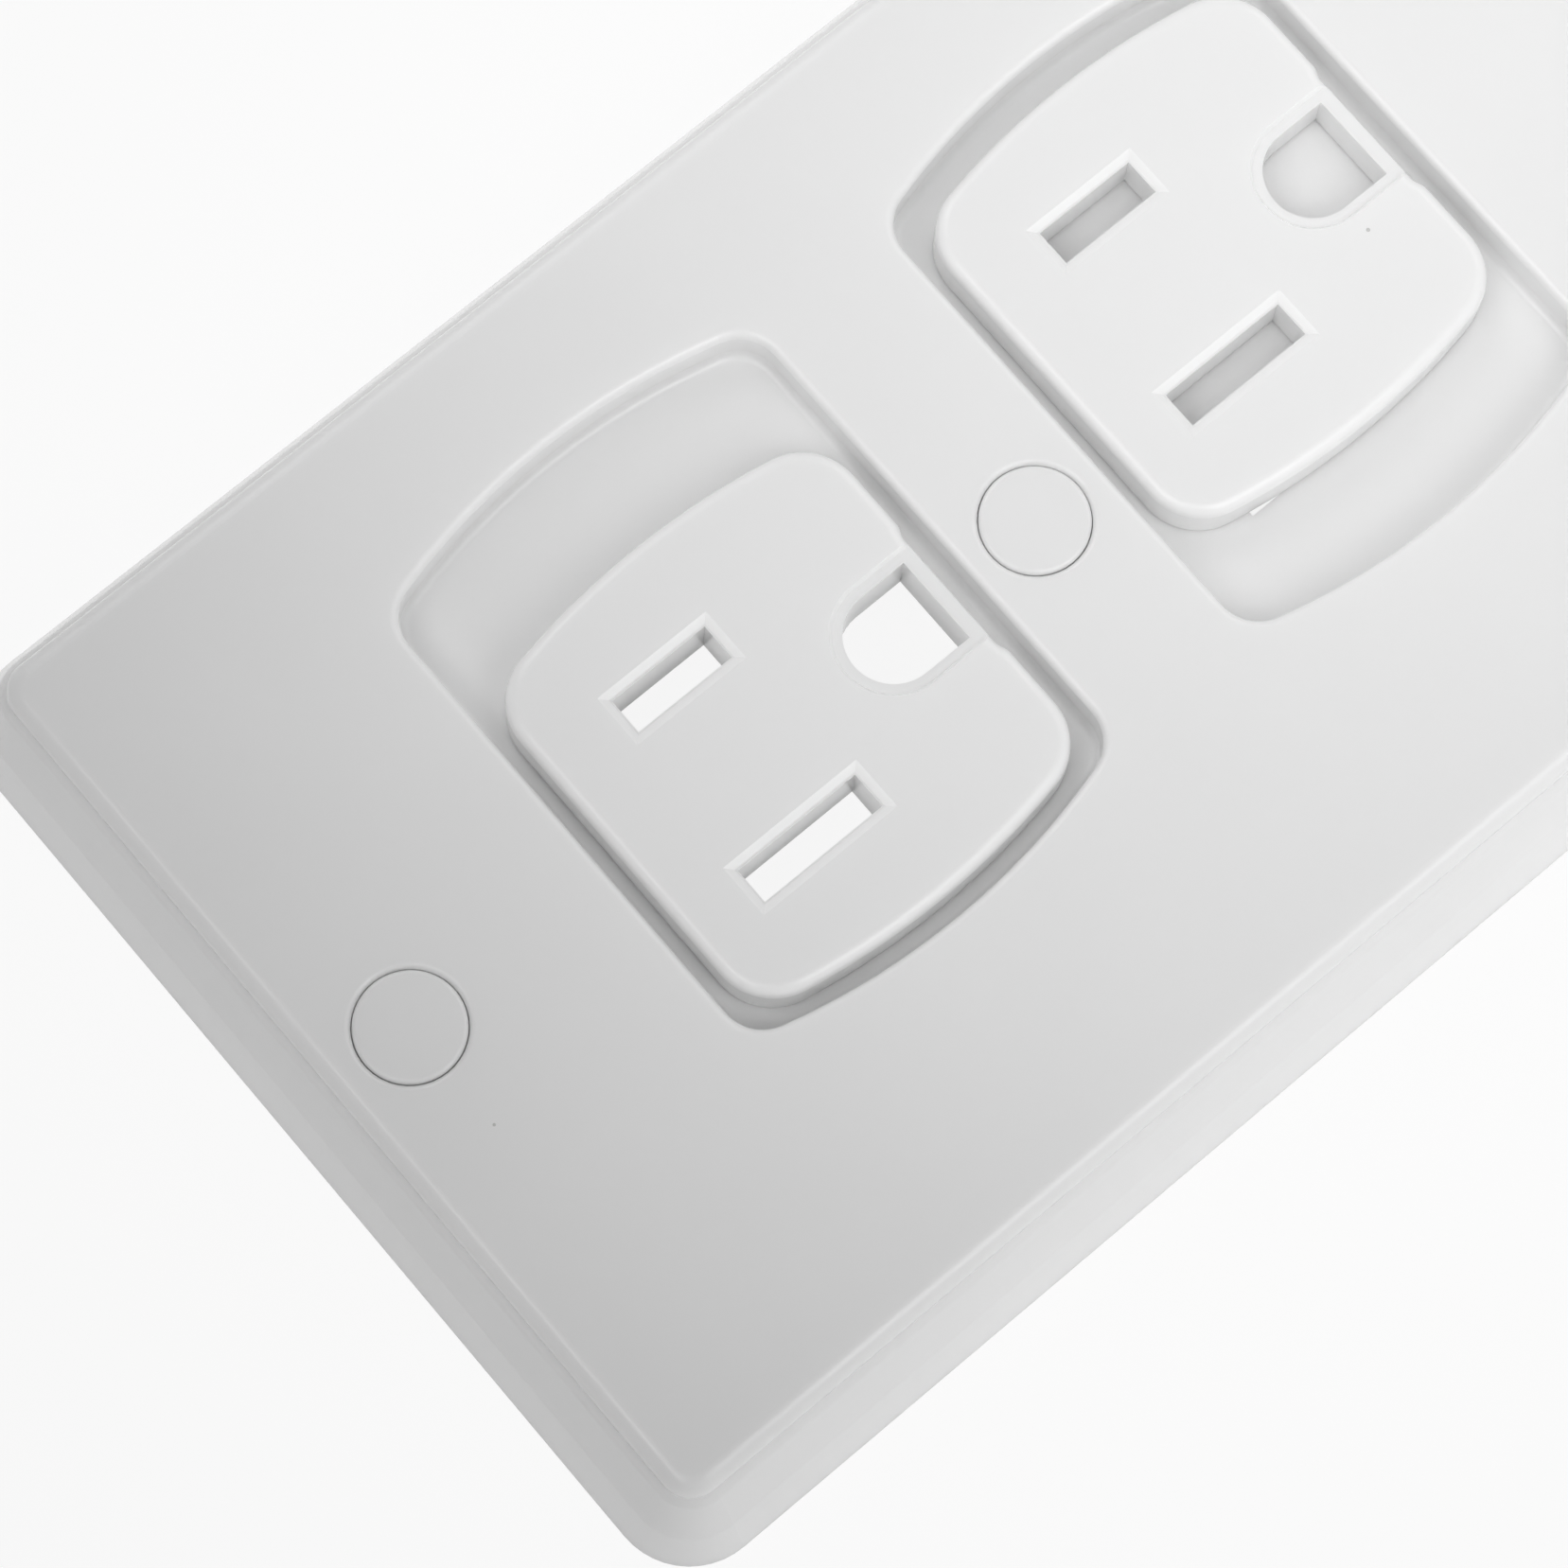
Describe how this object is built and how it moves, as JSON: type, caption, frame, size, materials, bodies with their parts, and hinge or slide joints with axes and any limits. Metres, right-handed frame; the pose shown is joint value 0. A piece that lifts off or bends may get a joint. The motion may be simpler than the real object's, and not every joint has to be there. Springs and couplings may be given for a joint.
{
  "type": "outlet safety cover",
  "caption": "Wall plate for a duplex outlet, with a spring-closed slider over each socket and round caps over the mounting screws.",
  "frame": {"origin": "centre of the plate's back, in the plane of the wall", "axes": "+Z out of the wall, through the face; +Y along the long side, away from the ground holes; +X to the right as the plate is seen from the front, the way the sliders close"},
  "size_m": [0.0698, 0.1142, 0.0098],
  "materials": {
    "plate_plastic": "satin, white",
    "slider_plastic": "satin, white",
    "cap_plastic": "satin, white",
    "retainer_plastic": "matt, white",
    "screw_steel": "zinc plated",
    "spring_steel": "drawn wire"
  },
  "bodies": {
    "plate": {"wall_plate": "plate_plastic", "upper_screw_cap": "cap_plastic", "centre_screw_cap": "cap_plastic", "lower_screw_cap": "cap_plastic", "upper_slider_upper_spring": "spring_steel", "upper_slider_lower_spring": "spring_steel", "lower_slider_upper_spring": "spring_steel", "lower_slider_lower_spring": "spring_steel"},
    "upper_slide": {"upper_slider": "slider_plastic", "upper_retainer": "retainer_plastic", "upper_retainer_screws": "screw_steel"},
    "lower_slide": {"lower_slider": "slider_plastic", "lower_retainer": "retainer_plastic", "lower_retainer_screws": "screw_steel"}
  },
  "joints": [
    {"name": "upper_slider_closes", "type": "slide", "parent": "plate", "child": "upper_slide", "axis": [1, 0, 0], "range_m": [0, 0.006], "stiffness_N_per_m": 120, "springref_m": 0.01, "deforming": ["upper_slider_upper_spring", "upper_slider_lower_spring"]},
    {"name": "lower_slider_opens", "type": "slide", "parent": "plate", "child": "lower_slide", "axis": [-1, 0, 0], "range_m": [0, 0.006], "stiffness_N_per_m": 120, "springref_m": -0.004, "deforming": ["lower_slider_upper_spring", "lower_slider_lower_spring"]}
  ]
}
